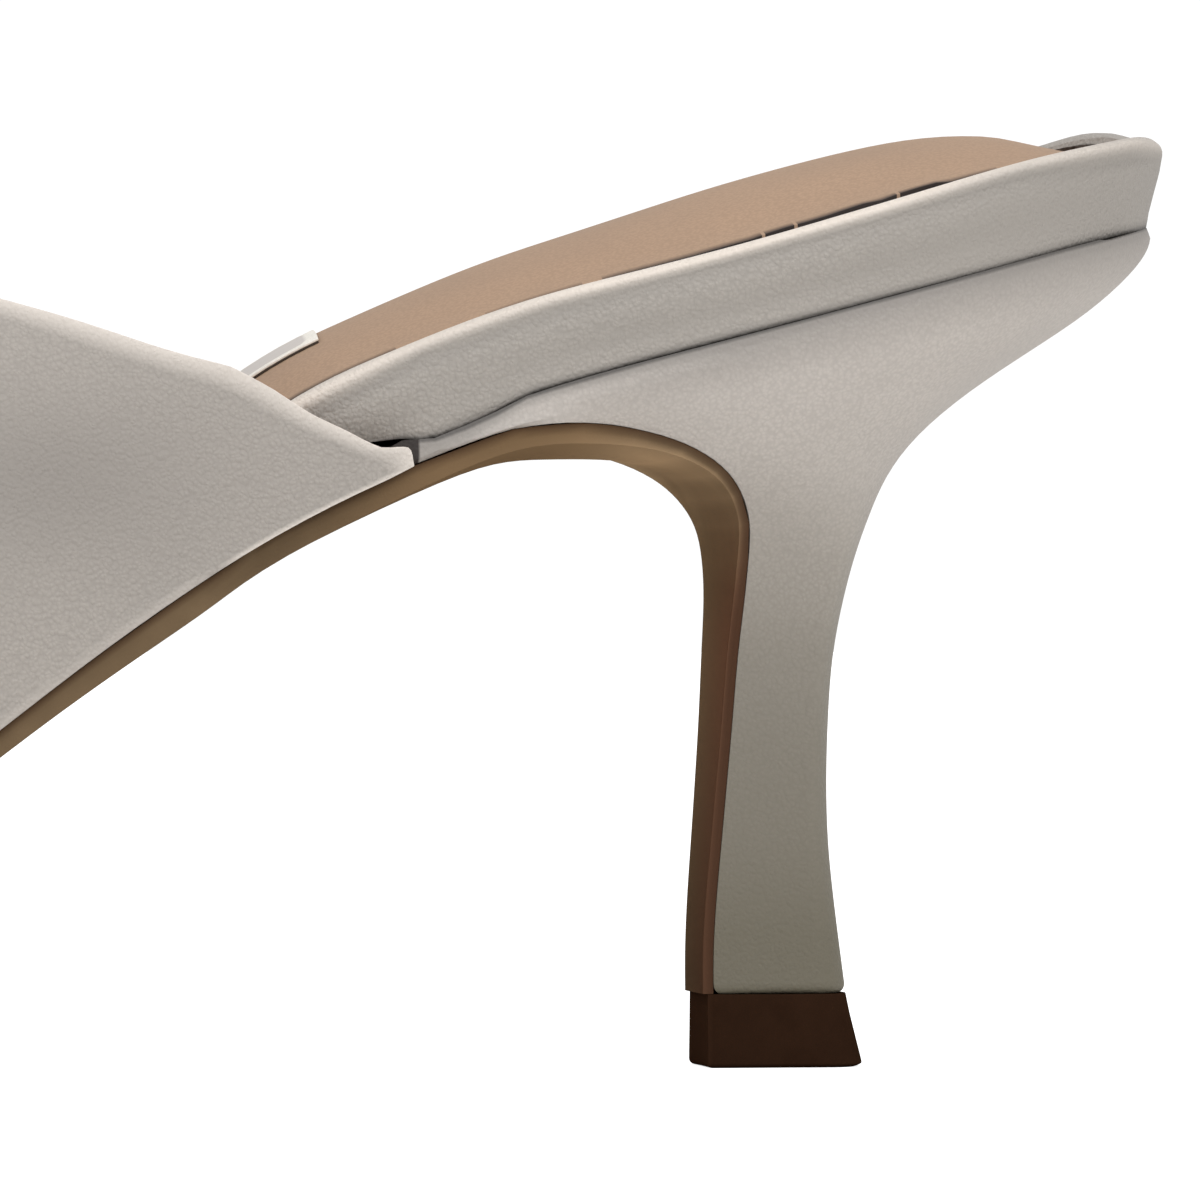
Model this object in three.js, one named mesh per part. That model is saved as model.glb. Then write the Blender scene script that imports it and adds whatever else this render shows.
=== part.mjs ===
// A left women's mule with a slender flared heel, in millimetres, +Z up, standing on the floor at z = 0.
// It is worked out as a shoemaker would: a bottom line, a plan outline and a last over them, then the
// pieces around that last. "Along" is the level distance from the back of the footbed towards the toe.
// The toe points to -X, the outer (lateral) side faces -Y and the inner (medial) side +Y.
import * as THREE from "three";
import { mergeVertices } from "three/addons/utils/BufferGeometryUtils.js";

// Driving sizes
const footbedLength = 235; // level length, back of the heel seat to the toe tip
const ballWidth = 75; // widest part of the footbed
const heelHeight = 70; // floor to the underside of the footbed at the heel's back
const instepHeight = 58; // last above its bottom line where the topline crosses the instep
const gap = 0.3; // between pieces that meet

// Rounding of the plan and of the toe
const heelRound = 26; // length over which the heel seat rounds off
const toeRound = 24; // length over which the toe's plan rounds off
const noseRound = 15; // length over which the toe's height rounds off

// Upper
const upperWall = 1.6; // leather and lining together
const upperRoom = 0.5; // between its inside and the footbed's outline
const toeRoom = 1.2; // more of it in front of the toe

// Outsole
const soleThickness = 2.1; // at the edge of the forepart
const soleInset = 0.6; // edge of the sole inside the upper's outside

// Footbed with its wrapped edge, and the padded sock on it
const rimHeight = 7.6; // footbed at the heel's side
const rimWidth = 2.3; // wrapped edge that shows round the sock
const undercut = 1.7; // the footbed's foot is that much inside its top edge
const sockThickness = 1.2; // at the sock's edge
const sockDrop = 0.6; // the sock's edge lies below the crest of the rim
const seatTilt = 0.45; // inner edge of the seat above its middle at the heel, and outer edge below
const backKick = 0.9; // what the rim's inner side rises more at the very back
const padHeight = 4.4; // crown of the heel cushion above the rim
const padFlatness = 2.4; // exponent of the cushion's cross curve

// Heel and its top piece
const stemWidth = 9.8; // heel at its foot
const stemCorner = 0.24; // share of the stem's depth that its back corners round off
const topPieceHeight = 5.9;
const topPieceFlare = 0.4; // the top piece's foot is that much wider, each side
const topPieceReach = 1.4; // and that much longer at the back
const topPieceTrim = 0.4; // and that much shorter than heel and flap at the front
const topPieceBevel = 0.3;

// Underside of the footbed: rise as a share of heelHeight. Flat between the two rows of the tread.
const BOTTOM_LINE = [
  { along: 0.0, rise: 1.013 },
  { along: 0.05, rise: 0.973 },
  { along: 0.1, rise: 0.929 },
  { along: 0.15, rise: 0.884 },
  { along: 0.2, rise: 0.84 },
  { along: 0.24, rise: 0.801 },
  { along: 0.28, rise: 0.745 },
  { along: 0.32, rise: 0.667 },
  { along: 0.36, rise: 0.576 },
  { along: 0.4, rise: 0.483 },
  { along: 0.44, rise: 0.382 },
  { along: 0.49, rise: 0.267 },
  { along: 0.54, rise: 0.169 },
  { along: 0.59, rise: 0.093 },
  { along: 0.64, rise: 0.049 },
  { along: 0.695, rise: 0.0343 },
  { along: 0.765, rise: 0.0343 },
  { along: 0.83, rise: 0.041 },
  { along: 0.91, rise: 0.068 },
  { along: 1.0, rise: 0.114 },
];

// Plan of the footbed: centre line and half width, as shares of ballWidth, before the ends are rounded.
const PLAN = [
  { along: 0.0, centre: 0.0, half: 0.34 },
  { along: 0.12, centre: 0.0, half: 0.351 },
  { along: 0.25, centre: -0.008, half: 0.315 },
  { along: 0.36, centre: -0.036, half: 0.296 },
  { along: 0.46, centre: -0.053, half: 0.326 },
  { along: 0.55, centre: -0.043, half: 0.396 },
  { along: 0.63, centre: -0.016, half: 0.46 },
  { along: 0.7, centre: 0.012, half: 0.494 },
  { along: 0.77, centre: 0.036, half: 0.476 },
  { along: 0.85, centre: 0.058, half: 0.396 },
  { along: 0.93, centre: 0.074, half: 0.276 },
  { along: 1.0, centre: 0.082, half: 0.165 },
];

// Height of the footbed's edge, as a share of rimHeight: it thins out under the upper.
const RIM = [
  { along: 0.0, height: 0.85 },
  { along: 0.014, height: 1.03 },
  { along: 0.03, height: 1.075 },
  { along: 0.07, height: 1.12 },
  { along: 0.12, height: 1.07 },
  { along: 0.19, height: 1.0 },
  { along: 0.235, height: 1.02 },
  { along: 0.28, height: 1.09 },
  { along: 0.33, height: 1.27 },
  { along: 0.39, height: 1.12 },
  { along: 0.46, height: 0.78 },
  { along: 0.56, height: 0.5 },
  { along: 0.8, height: 0.43 },
  { along: 1.0, height: 0.41 },
];

// Crown of the sock's padding above its edge, as a share of padHeight.
const PAD = [
  { along: 0.0, crown: -0.05 },
  { along: 0.025, crown: 0.02 },
  { along: 0.045, crown: 0.3 },
  { along: 0.075, crown: 0.82 },
  { along: 0.11, crown: 1.1 },
  { along: 0.16, crown: 1.21 },
  { along: 0.22, crown: 1.05 },
  { along: 0.27, crown: 0.92 },
  { along: 0.33, crown: 0.84 },
  { along: 0.42, crown: 0.6 },
  { along: 0.55, crown: 0.3 },
  { along: 1.0, crown: 0.12 },
];

// Last above the bottom line: ridge as a share of instepHeight, side bulge as a share of ballWidth,
// skew of the ridge towards the inner side likewise, and fullness, the exponent of the cross curve.
const LAST = [
  { along: 0.27, ridge: 0.76, bulge: 0.009, skew: 0.0, fullness: 2.1 },
  { along: 0.34, ridge: 0.83, bulge: 0.011, skew: 0.0, fullness: 2.1 },
  { along: 0.42, ridge: 0.895, bulge: 0.016, skew: 0.012, fullness: 2.1 },
  { along: 0.5, ridge: 0.965, bulge: 0.022, skew: 0.028, fullness: 2.1 },
  { along: 0.56, ridge: 0.997, bulge: 0.026, skew: 0.036, fullness: 2.15 },
  { along: 0.62, ridge: 0.955, bulge: 0.027, skew: 0.04, fullness: 2.2 },
  { along: 0.68, ridge: 0.845, bulge: 0.025, skew: 0.036, fullness: 2.25 },
  { along: 0.745, ridge: 0.67, bulge: 0.021, skew: 0.026, fullness: 2.3 },
  { along: 0.81, ridge: 0.505, bulge: 0.016, skew: 0.016, fullness: 2.35 },
  { along: 0.87, ridge: 0.37, bulge: 0.017, skew: 0.008, fullness: 2.5 },
  { along: 0.94, ridge: 0.255, bulge: 0.018, skew: 0.0, fullness: 2.7 },
  { along: 1.0, ridge: 0.18, bulge: 0.016, skew: 0.0, fullness: 2.9 },
];

// Topline of the upper, from the outer bottom edge (around 0) over the instep (0.5) to the inner one (1).
const TOPLINE = [
  { around: 0.0, along: 0.2825 },
  { around: 0.014, along: 0.2865 },
  { around: 0.032, along: 0.301 },
  { around: 0.06, along: 0.3245 },
  { around: 0.1, along: 0.3525 },
  { around: 0.15, along: 0.3865 },
  { around: 0.21, along: 0.4245 },
  { around: 0.29, along: 0.4715 },
  { around: 0.38, along: 0.517 },
  { around: 0.46, along: 0.542 },
  { around: 0.54, along: 0.545 },
  { around: 0.64, along: 0.525 },
  { around: 0.74, along: 0.482 },
  { around: 0.83, along: 0.427 },
  { around: 0.91, along: 0.368 },
  { around: 0.965, along: 0.325 },
  { around: 0.988, along: 0.303 },
  { around: 1.0, along: 0.2965 },
];

// Slices of the heel from its foot up, each running from the heel's back line to its breast line.
// Places are shares of footbedLength, rises are shares of the heel above the top piece, flare goes
// from the stem's width (0) to the seat's (1), and edge and crown are the outsole's thickness over
// the breast at its sides and what its middle adds, as shares of soleThickness.
const HEEL = [
  { back: 0.1141, backRise: 0.0, front: 0.1643, frontRise: 0.0, flare: 0.0, edge: 0.29, crown: 0.0 },
  { back: 0.1163, backRise: 0.06, front: 0.1643, frontRise: 0.06, flare: 0.0, edge: 0.29, crown: 0.0 },
  { back: 0.1188, backRise: 0.13, front: 0.1633, frontRise: 0.13, flare: 0.012, edge: 0.29, crown: 0.0 },
  { back: 0.1208, backRise: 0.2, front: 0.1618, frontRise: 0.2, flare: 0.028, edge: 0.29, crown: 0.0 },
  { back: 0.1216, backRise: 0.28, front: 0.1601, frontRise: 0.28, flare: 0.048, edge: 0.29, crown: 0.0 },
  { back: 0.1212, backRise: 0.363, front: 0.1584, frontRise: 0.363, flare: 0.074, edge: 0.29, crown: 0.0 },
  { back: 0.1198, backRise: 0.442, front: 0.157, frontRise: 0.442, flare: 0.104, edge: 0.3, crown: 0.0 },
  { back: 0.1165, backRise: 0.514, front: 0.1554, frontRise: 0.512, flare: 0.155, edge: 0.31, crown: 0.01 },
  { back: 0.1127, backRise: 0.574, front: 0.155, frontRise: 0.568, flare: 0.237, edge: 0.31, crown: 0.0 },
  { back: 0.108, backRise: 0.624, front: 0.1562, frontRise: 0.616, flare: 0.361, edge: 0.3, crown: 0.0 },
  { back: 0.1007, backRise: 0.678, front: 0.1612, frontRise: 0.656, flare: 0.505, edge: 0.3, crown: 0.03 },
  { back: 0.0884, backRise: 0.733, front: 0.1697, frontRise: 0.689, flare: 0.64, edge: 0.33, crown: 0.06 },
  { back: 0.0697, backRise: 0.79, front: 0.184, frontRise: 0.718, flare: 0.753, edge: 0.42, crown: 0.2 },
  { back: 0.0472, backRise: 0.845, front: 0.2021, frontRise: 0.736, flare: 0.845, edge: 0.54, crown: 0.44 },
  { back: 0.027, backRise: 0.895, front: 0.2213, frontRise: 0.744, flare: 0.918, edge: 0.68, crown: 0.54 },
  { back: 0.0122, backRise: 0.943, front: 0.2468, frontRise: 0.736, flare: 0.965, edge: 0.7, crown: 0.56 },
  { back: 0.0052, backRise: 0.978, front: 0.2809, frontRise: 0.69, flare: 0.99, edge: 0.78, crown: 0.46 },
];
const SEAT_SLICE = { back: 0.0035, front: 0.332, edge: 0.9, crown: 0.3 };

// Thickness of the outsole in front of the heel, at its sides and what its middle adds.
const SOLE = [
  { along: 0.332, edge: 0.9, crown: 0.3 },
  { along: 0.37, edge: 0.88, crown: 0.1 },
  { along: 0.43, edge: 0.72, crown: 0.0 },
  { along: 0.52, edge: 0.82, crown: 0.0 },
  { along: 0.6, edge: 1.0, crown: 0.0 },
  { along: 1.0, edge: 1.0, crown: 0.0 },
];

// Section of the footbed's wrapped edge from its foot over the crest into the sock's recess:
// inward distance as shares of undercut and rimWidth, level as a share of the rim's height there.
const RIM_SECTION = [
  { undercut: 1.35, rim: 0.0, level: 0.0 },
  { undercut: 1.0, rim: 0.0, level: 0.07 },
  { undercut: 0.5, rim: 0.0, level: 0.42 },
  { undercut: 0.0, rim: 0.0, level: 0.84 },
  { undercut: 0.0, rim: 0.2, level: 0.97 },
  { undercut: 0.0, rim: 0.55, level: 1.0 },
  { undercut: 0.0, rim: 0.9, level: 0.96 },
];

// How finely the curved pieces are divided
const outlineSteps = 42; // along each side of the footbed and sock
const rungSteps = 8; // across the sock's crown
const soleSteps = 6; // across the outsole
const upperRows = 26; // toe to topline
const upperColumns = 36; // outer side over to inner side
const stemSteps = 11; // back to front of a heel slice
const breastSteps = 4; // across the heel's breast

const { lerp, clamp, smoothstep } = THREE.MathUtils;
const last = (list) => list[list.length - 1];

// A smooth curve through the rows of a table that never overshoots them (monotone cubic).
function curveOf(rows, column, across = "along") {
  const x = rows.map((row) => row[across]);
  const y = rows.map((row) => row[column]);
  const step = x.slice(1).map((value, i) => value - x[i]);
  const slope = step.map((h, i) => (y[i + 1] - y[i]) / h);
  const tangent = x.map((_, i) => {
    if (i === 0) return slope[0];
    if (i === x.length - 1) return last(slope);
    const [before, after] = [slope[i - 1], slope[i]];
    if (before * after <= 0) return 0;
    const [w1, w2] = [2 * step[i] + step[i - 1], step[i] + 2 * step[i - 1]];
    return (w1 + w2) / (w1 / before + w2 / after);
  });
  return (at) => {
    const here = clamp(at, x[0], last(x));
    const i = clamp(x.findIndex((value) => value > here) - 1, 0, step.length - 1);
    const k = here >= last(x) ? step.length - 1 : i;
    const t = (here - x[k]) / step[k];
    const [t2, t3] = [t * t, t * t * t];
    return (
      (2 * t3 - 3 * t2 + 1) * y[k] +
      (t3 - 2 * t2 + t) * step[k] * tangent[k] +
      (3 * t2 - 2 * t3) * y[k + 1] +
      (t3 - t2) * step[k] * tangent[k + 1]
    );
  };
}

const bottomShare = curveOf(BOTTOM_LINE, "rise");
const centreShare = curveOf(PLAN, "centre");
const halfShare = curveOf(PLAN, "half");
const rimShare = curveOf(RIM, "height");
const padShare = curveOf(PAD, "crown");
const ridgeShare = curveOf(LAST, "ridge");
const bulgeShare = curveOf(LAST, "bulge");
const skewShare = curveOf(LAST, "skew");
const fullness = curveOf(LAST, "fullness");
const toplineShare = curveOf(TOPLINE, "along", "around");
const soleEdgeShare = curveOf(SOLE, "edge");
const soleCrownShare = curveOf(SOLE, "crown");

// The tread's sole stands on the floor, so the flat stretch of the bottom line is lifted to its thickness.
const treadRise = Math.min(...BOTTOM_LINE.map((row) => row.rise));
const liftToTread = soleThickness + gap - treadRise * heelHeight;

const bottomAt = (s) => {
  const share = bottomShare(s / footbedLength);
  const fade = (bottomShare(0) - share) / (bottomShare(0) - treadRise);
  return share * heelHeight + liftToTread * fade;
};
const centreAt = (s) => ballWidth * centreShare(s / footbedLength);
const seatHalf = ballWidth * halfShare(0.12);
function tiltAt(s, y) {
  const [along, across] = [s / footbedLength, y / seatHalf];
  const kick = smoothstep(across, 0.05, 0.4) * (1 - smoothstep(along, 0.01, 0.05));
  return seatTilt * across * (1 - smoothstep(along, 0.04, 0.26)) + backKick * kick;
}
const rimAt = (s, y) => bottomAt(s) + rimHeight * rimShare(s / footbedLength) + tiltAt(s, y);

// Rounds a width or height off to nothing at the end of a length.
const roundOff = (toEnd, over) => Math.sqrt(1 - (1 - clamp(toEnd / over, 0, 1)) ** 2);

// Half width of the plan outline grown sideways by `out` and at the toe by `ahead`.
function halfAt(s, out = 0, ahead = out) {
  const toeEnd = roundOff(footbedLength + ahead - s, toeRound);
  return (ballWidth * halfShare(s / footbedLength) + out) * roundOff(s, heelRound) * toeEnd;
}

const at = (s, y, z) => new THREE.Vector3(-s, y, z);

// Collects the faces of one closed skin. Points that coincide are merged when it is finished.
class Skin {
  constructor() {
    this.corners = [];
  }

  // Faces between two rows of equally many points; they look along (next point) x (other row).
  band(row, other) {
    for (let i = 0; i + 1 < row.length; i++) {
      this.corners.push(row[i], row[i + 1], other[i + 1], row[i], other[i + 1], other[i]);
    }
  }

  sheet(rows) {
    for (let i = 0; i + 1 < rows.length; i++) this.band(rows[i], rows[i + 1]);
  }

  geometry() {
    const flat = new THREE.BufferGeometry().setFromPoints(this.corners);
    const merged = mergeVertices(flat, 1e-4);
    const index = merged.index.array;
    const kept = [];
    for (let i = 0; i < index.length; i += 3) {
      const [a, b, c] = index.slice(i, i + 3);
      if (a !== b && b !== c && c !== a) kept.push(a, b, c);
    }
    merged.setIndex(kept);
    return merged;
  }
}

const closed = (loop) => [...loop, loop[0]];
const spread = (from, to, steps) =>
  Array.from({ length: steps + 1 }, (_, i) => lerp(from, to, i / steps));

// One side of the plan outline, moved inwards, as evenly spaced points [along, y] from heel to toe.
function outlineSide(side, inward) {
  const fine = 240;
  const raw = spread(0, Math.PI, fine).map((turn) => {
    const s = (footbedLength * (1 - Math.cos(turn))) / 2;
    return new THREE.Vector2(s, centreAt(s) + side * halfAt(s));
  });
  const moved = raw.map((point, i) => {
    const before = raw[Math.max(i - 1, 0)];
    const after = raw[Math.min(i + 1, fine)];
    const tangent = after.clone().sub(before).normalize();
    const ends = i === 0 ? [1, 0] : i === fine ? [-1, 0] : [side * tangent.y, -side * tangent.x];
    return new THREE.Vector2(point.x + ends[0] * inward, point.y + ends[1] * inward);
  });
  return new THREE.SplineCurve(moved).getSpacedPoints(outlineSteps);
}

// Rungs across the plan from outer to inner side, heel to toe, as pairs of [along, y] points.
function rungsOf(inward) {
  const inner = outlineSide(1, inward);
  const outer = outlineSide(-1, inward);
  return inner.map((point, i) => [outer[i], point]);
}

// A closed loop round the plan, heel back to toe on the inner side and home on the outer side.
function loopOf(inward, heightAt) {
  const rungs = rungsOf(inward);
  const inner = rungs.map(([, point]) => point);
  const outer = rungs.slice(1, -1).map(([point]) => point);
  return [...inner, ...outer.reverse()].map((p) => at(p.x, p.y, heightAt(p.x, p.y)));
}

// Rows across the plan for a cap, each from the outer to the inner side.
function rowsAcross(inward, steps, heightAt) {
  return rungsOf(inward).map(([outer, inner]) =>
    spread(0, 1, steps).map((t) => {
      const s = lerp(outer.x, inner.x, t);
      const y = lerp(outer.y, inner.y, t);
      return at(s, y, heightAt(s, y));
    }),
  );
}

const reversedRows = (rows) => rows.map((row) => [...row].reverse());

// Footbed: a board with a soft wrapped edge that stands up round a shallow recess for the sock.
const recessDrop = sockDrop + sockThickness + gap;
const recessAt = (s, y) => rimAt(s, y) - recessDrop;

function footbedGeometry() {
  const skin = new Skin();
  const loops = RIM_SECTION.map((row) =>
    loopOf(row.undercut * undercut + row.rim * rimWidth, (s, y) => lerp(bottomAt(s), rimAt(s, y), row.level)),
  );
  loops.push(loopOf(rimWidth, recessAt));
  skin.sheet(loops.map(closed));
  skin.sheet(reversedRows(rowsAcross(RIM_SECTION[0].undercut * undercut, 2, (s) => bottomAt(s))));
  skin.sheet(rowsAcross(rimWidth, 2, recessAt));
  return skin.geometry();
}

// Sock: a thin lining with a cushion under the heel and arch, crowned across its width.
const sockInset = rimWidth + gap;

function sockTopAt(s, y) {
  const half = Math.max(halfAt(s) - sockInset, gap);
  const across = clamp(Math.abs(y - centreAt(s)) / half, 0, 1);
  const crown = padHeight * padShare(s / footbedLength) * (1 - across ** padFlatness);
  return rimAt(s, y) - sockDrop + crown;
}

function sockGeometry() {
  const skin = new Skin();
  const edgeAt = (s, y) => rimAt(s, y) - sockDrop;
  const bottom = (s, y) => edgeAt(s, y) - sockThickness;
  skin.sheet([loopOf(sockInset, bottom), loopOf(sockInset, edgeAt)].map(closed));
  skin.sheet(reversedRows(rowsAcross(sockInset, 2, bottom)));
  const topRows = rowsAcross(sockInset, rungSteps, sockTopAt);
  topRows.forEach((row) => {
    const end = row === topRows[0] || row === last(topRows);
    const onEdge = end ? row : [row[0], last(row)];
    onEdge.forEach((point) => point.setZ(edgeAt(-point.x, point.y)));
  });
  skin.sheet(topRows);
  return skin.geometry();
}

// Heel slices: each lies under the footbed, from a point of the back line to one of the breast line.
const heelFoot = topPieceHeight + gap;
const stemHalf = stemWidth / 2;
const widestSeat = 0.12 * footbedLength;

function sliceOf(row) {
  const riseTo = (share) => lerp(heelFoot, heelHeight, share);
  const [back, front] = [row.back * footbedLength, row.front * footbedLength];
  return {
    back,
    front,
    backDepth: bottomAt(back) - riseTo(row.backRise),
    frontDepth: bottomAt(front) - riseTo(row.frontRise),
    flare: row.flare,
    edge: row.edge,
    crown: row.crown,
  };
}

const seatSlice = {
  ...SEAT_SLICE,
  back: SEAT_SLICE.back * footbedLength,
  front: SEAT_SLICE.front * footbedLength,
  backDepth: gap,
  frontDepth: gap,
  flare: 1,
};
const heelSlices = [...HEEL.map(sliceOf), seatSlice];

// Half width of a slice at a share of the way from its back to its front: a block with rounded back
// corners in the stem that becomes the seat's own outline higher up.
function sliceHalf(slice, share) {
  const seatHalf = halfAt(widestSeat) - undercut;
  const half = lerp(stemHalf, seatHalf, slice.flare);
  const corner = (1 - (1 - clamp(share / stemCorner, 0, 1)) ** 2.4) ** (1 / 2.4);
  const plan = halfAt(share * slice.front) / halfAt(widestSeat);
  return half * lerp(corner, plan, smoothstep(slice.flare, 0.18, 0.7));
}

function slicePoint(slice, share, across) {
  const s = lerp(slice.back, slice.front, share);
  const z = bottomAt(s) - lerp(slice.backDepth, slice.frontDepth, share);
  const middle = centreAt(s) * smoothstep(slice.flare, 0.18, 0.9);
  return at(s, middle + across * sliceHalf(slice, share), z);
}

const stemShares = spread(0, 1, stemSteps).map((t) => t ** 1.6);

const sliceRows = (slice) =>
  stemShares.map((share) => spread(-1, 1, breastSteps).map((across) => slicePoint(slice, share, across)));

function sliceLoop(slice) {
  const rows = sliceRows(slice);
  const inner = rows.map((row) => last(row));
  const breast = last(rows).slice(1, -1).reverse();
  const outer = rows.slice(1).map((row) => row[0]).reverse();
  return [...inner, ...breast, ...outer];
}

function heelGeometry() {
  const skin = new Skin();
  skin.sheet(heelSlices.map((slice) => closed(sliceLoop(slice))));
  skin.sheet(reversedRows(sliceRows(heelSlices[0])));
  skin.sheet(sliceRows(seatSlice));
  return skin.geometry();
}

// Top piece under the heel: as long as the heel's foot and the sole's flap together.
function topPieceGeometry() {
  const foot = heelSlices[0];
  const flap = gap + soleThickness * foot.edge;
  const level = (z, grow, reach) => {
    const back = foot.back - reach;
    const front = foot.front + flap - topPieceTrim;
    return stemShares.map((share) =>
      spread(-1, 1, breastSteps).map((across) => {
        const corner = (1 - (1 - clamp(share / stemCorner, 0, 1)) ** 2.4) ** (1 / 2.4);
        return at(lerp(back, front, share), across * (stemHalf + grow) * corner, z);
      }),
    );
  };
  const levels = [
    level(0, topPieceFlare - topPieceBevel, topPieceReach - topPieceBevel),
    level(topPieceBevel, topPieceFlare, topPieceReach),
    level(topPieceHeight, 0, 0),
  ];
  const loop = (rows) => [
    ...rows.map((row) => last(row)),
    ...last(rows).slice(1, -1).reverse(),
    ...rows.slice(1).map((row) => row[0]).reverse(),
  ];
  const skin = new Skin();
  skin.sheet(levels.map((rows) => closed(loop(rows))));
  skin.sheet(reversedRows(levels[0]));
  skin.sheet(last(levels));
  return skin.geometry();
}

// Outsole: rungs from the toe along the bottom line to the heel's wing, then down the heel's breast.
const soleToeStations = spread(0, Math.PI / 2, 7).map((turn) => 1 - 0.13 * (1 - Math.cos(turn)));
const soleShankStations = [
  0.84, 0.815, 0.785, 0.756, 0.745, 0.72, 0.7, 0.688, 0.665, 0.645, 0.62, 0.59, 0.56, 0.53, 0.5, 0.47, 0.44, 0.41, 0.38, 0.355,
];

const soleOut = upperRoom + upperWall - soleInset; // edge of the sole outside the footbed's outline

function soleRungs() {
  const flat = [...soleToeStations, ...soleShankStations].map((share) => {
    const s = share * (footbedLength + toeRoom + soleOut);
    const half = halfAt(s, soleOut, soleOut + toeRoom);
    return {
      s,
      z: bottomAt(s),
      outer: centreAt(s) - half,
      inner: centreAt(s) + half,
      edge: soleEdgeShare(share),
      crown: soleCrownShare(share),
    };
  });
  const breast = [...heelSlices].reverse().map((slice) => {
    const [outer, inner] = [slicePoint(slice, 1, -1), slicePoint(slice, 1, 1)];
    return { s: slice.front, z: outer.z, outer: outer.y, inner: inner.y, edge: slice.edge, crown: slice.crown };
  });
  return [...flat, ...breast];
}

function outsoleGeometry() {
  const rungs = soleRungs();
  const faces = rungs.map((rung, i) => {
    const before = rungs[Math.max(i - 1, 0)];
    const after = rungs[Math.min(i + 1, rungs.length - 1)];
    const run = new THREE.Vector2(after.s - before.s, after.z - before.z).normalize();
    const out = new THREE.Vector2(-run.y, run.x); // towards the floor and, on the breast, the toe
    const row = (depthAt) =>
      spread(-1, 1, soleSteps).map((across) => {
        const depth = depthAt(across);
        const y = lerp(rung.outer, rung.inner, (across + 1) / 2);
        return at(rung.s + out.x * depth, y, rung.z + out.y * depth);
      });
    const thick = (across) => soleThickness * (rung.edge + rung.crown * (1 - across ** 2));
    return { top: row(() => gap), ground: row((across) => gap + thick(across)) };
  });
  const tops = faces.map((face) => face.top);
  const grounds = faces.map((face) => face.ground);
  const skin = new Skin();
  skin.sheet(reversedRows(tops));
  skin.sheet(grounds);
  skin.band(grounds.map((row) => row[0]), tops.map((row) => row[0]));
  skin.band(tops.map((row) => last(row)), grounds.map((row) => last(row)));
  skin.band([...last(tops)].reverse(), [...last(grounds)].reverse());
  return skin.geometry();
}

// Upper: a wall round the last, from the toe to the topline, open over the heel and underneath.
// Beside the heel's wing its bottom edge follows the outsole, which leaves the footbed there.
const wingBack = heelSlices[heelSlices.length - 2];
const wingSettle = 0.017 * footbedLength;

function upperFloorAt(s) {
  const wingFront = seatSlice.front;
  if (s >= wingFront + wingSettle) return bottomAt(s);
  if (s >= wingFront) {
    const t = (s - wingFront) / wingSettle;
    return lerp(bottomAt(wingFront) - gap, bottomAt(wingFront + wingSettle), t);
  }
  const t = (s - wingBack.front) / (wingFront - wingBack.front);
  return lerp(bottomAt(wingBack.front) - wingBack.frontDepth, bottomAt(wingFront) - gap, t);
}

function lastPoint(s, around, out) {
  const share = s / footbedLength;
  const turn = Math.PI * around;
  const power = 2 / fullness(share);
  const nose = roundOff(footbedLength + toeRoom + out - s, noseRound);
  const toe = roundOff(footbedLength + toeRoom + out - s, toeRound);
  const up = Math.max(Math.sin(turn), 0) ** power;
  const side = -Math.sign(Math.cos(turn)) * Math.abs(Math.cos(turn)) ** power;
  const bulge = ballWidth * bulgeShare(share) * Math.sin(2 * turn) * toe;
  const skew = ballWidth * skewShare(share) * up * up * nose;
  const y = centreAt(s) + side * halfAt(s, out, out + toeRoom) - bulge + skew;
  return at(s, y, upperFloorAt(s) + (instepHeight * ridgeShare(share) + out) * up * nose);
}

const upperArounds = spread(0, 1, upperColumns).map(
  (t) => lerp(t, (1 - Math.cos(Math.PI * t)) / 2, 0.62),
);

function upperSkin(out) {
  const toe = footbedLength + toeRoom + out;
  return spread(0, 1, upperRows).map((t) => {
    const fromToe = lerp(t, 1 - Math.cos((Math.PI * t) / 2), 0.75);
    return upperArounds.map((around) => {
      const end = footbedLength * toplineShare(around);
      return lastPoint(lerp(toe, end, fromToe), around, out);
    });
  });
}

function upperGeometry() {
  const outside = upperSkin(upperRoom + upperWall);
  const inside = upperSkin(upperRoom);
  const skin = new Skin();
  skin.sheet(reversedRows(outside));
  skin.sheet(inside);
  skin.band(last(inside), last(outside));
  skin.band(inside.map((row) => row[0]), outside.map((row) => row[0]));
  skin.band(outside.map((row) => last(row)), inside.map((row) => last(row)));
  return skin.geometry();
}

// Finishes as in the photograph
const greige = { color: 0xb5aca2, roughness: 0.5, metalness: 0 };
const tan = { color: 0xc19c80, roughness: 0.6, metalness: 0 };
const brown = { color: 0x6b4c35, roughness: 0.45, metalness: 0 };
const darkBrown = { color: 0x2e1c14, roughness: 0.5, metalness: 0 };

const shoe = new THREE.Group();

function addPiece(name, geometry, finish) {
  const mesh = new THREE.Mesh(geometry, new THREE.MeshStandardMaterial(finish));
  mesh.name = name;
  shoe.add(mesh);
}

addPiece("upper", upperGeometry(), greige);
addPiece("outsole", outsoleGeometry(), brown);
addPiece("footbed", footbedGeometry(), greige);
addPiece("sock", sockGeometry(), tan);
addPiece("heel", heelGeometry(), greige);
addPiece("top_piece", topPieceGeometry(), darkBrown);

// The origin lies on the floor under the middle of the shoe's box.
const box = new THREE.Box3().setFromObject(shoe);
const middle = box.getCenter(new THREE.Vector3());
shoe.position.set(-middle.x, -middle.y, 0);

export default shoe;
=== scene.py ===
import math

import bmesh
import bpy
import numpy as np
from bpy.props import FloatProperty, FloatVectorProperty, PointerProperty
from mathutils import Matrix, Vector
from mathutils.bvhtree import BVHTree
from mathutils.kdtree import KDTree


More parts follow.
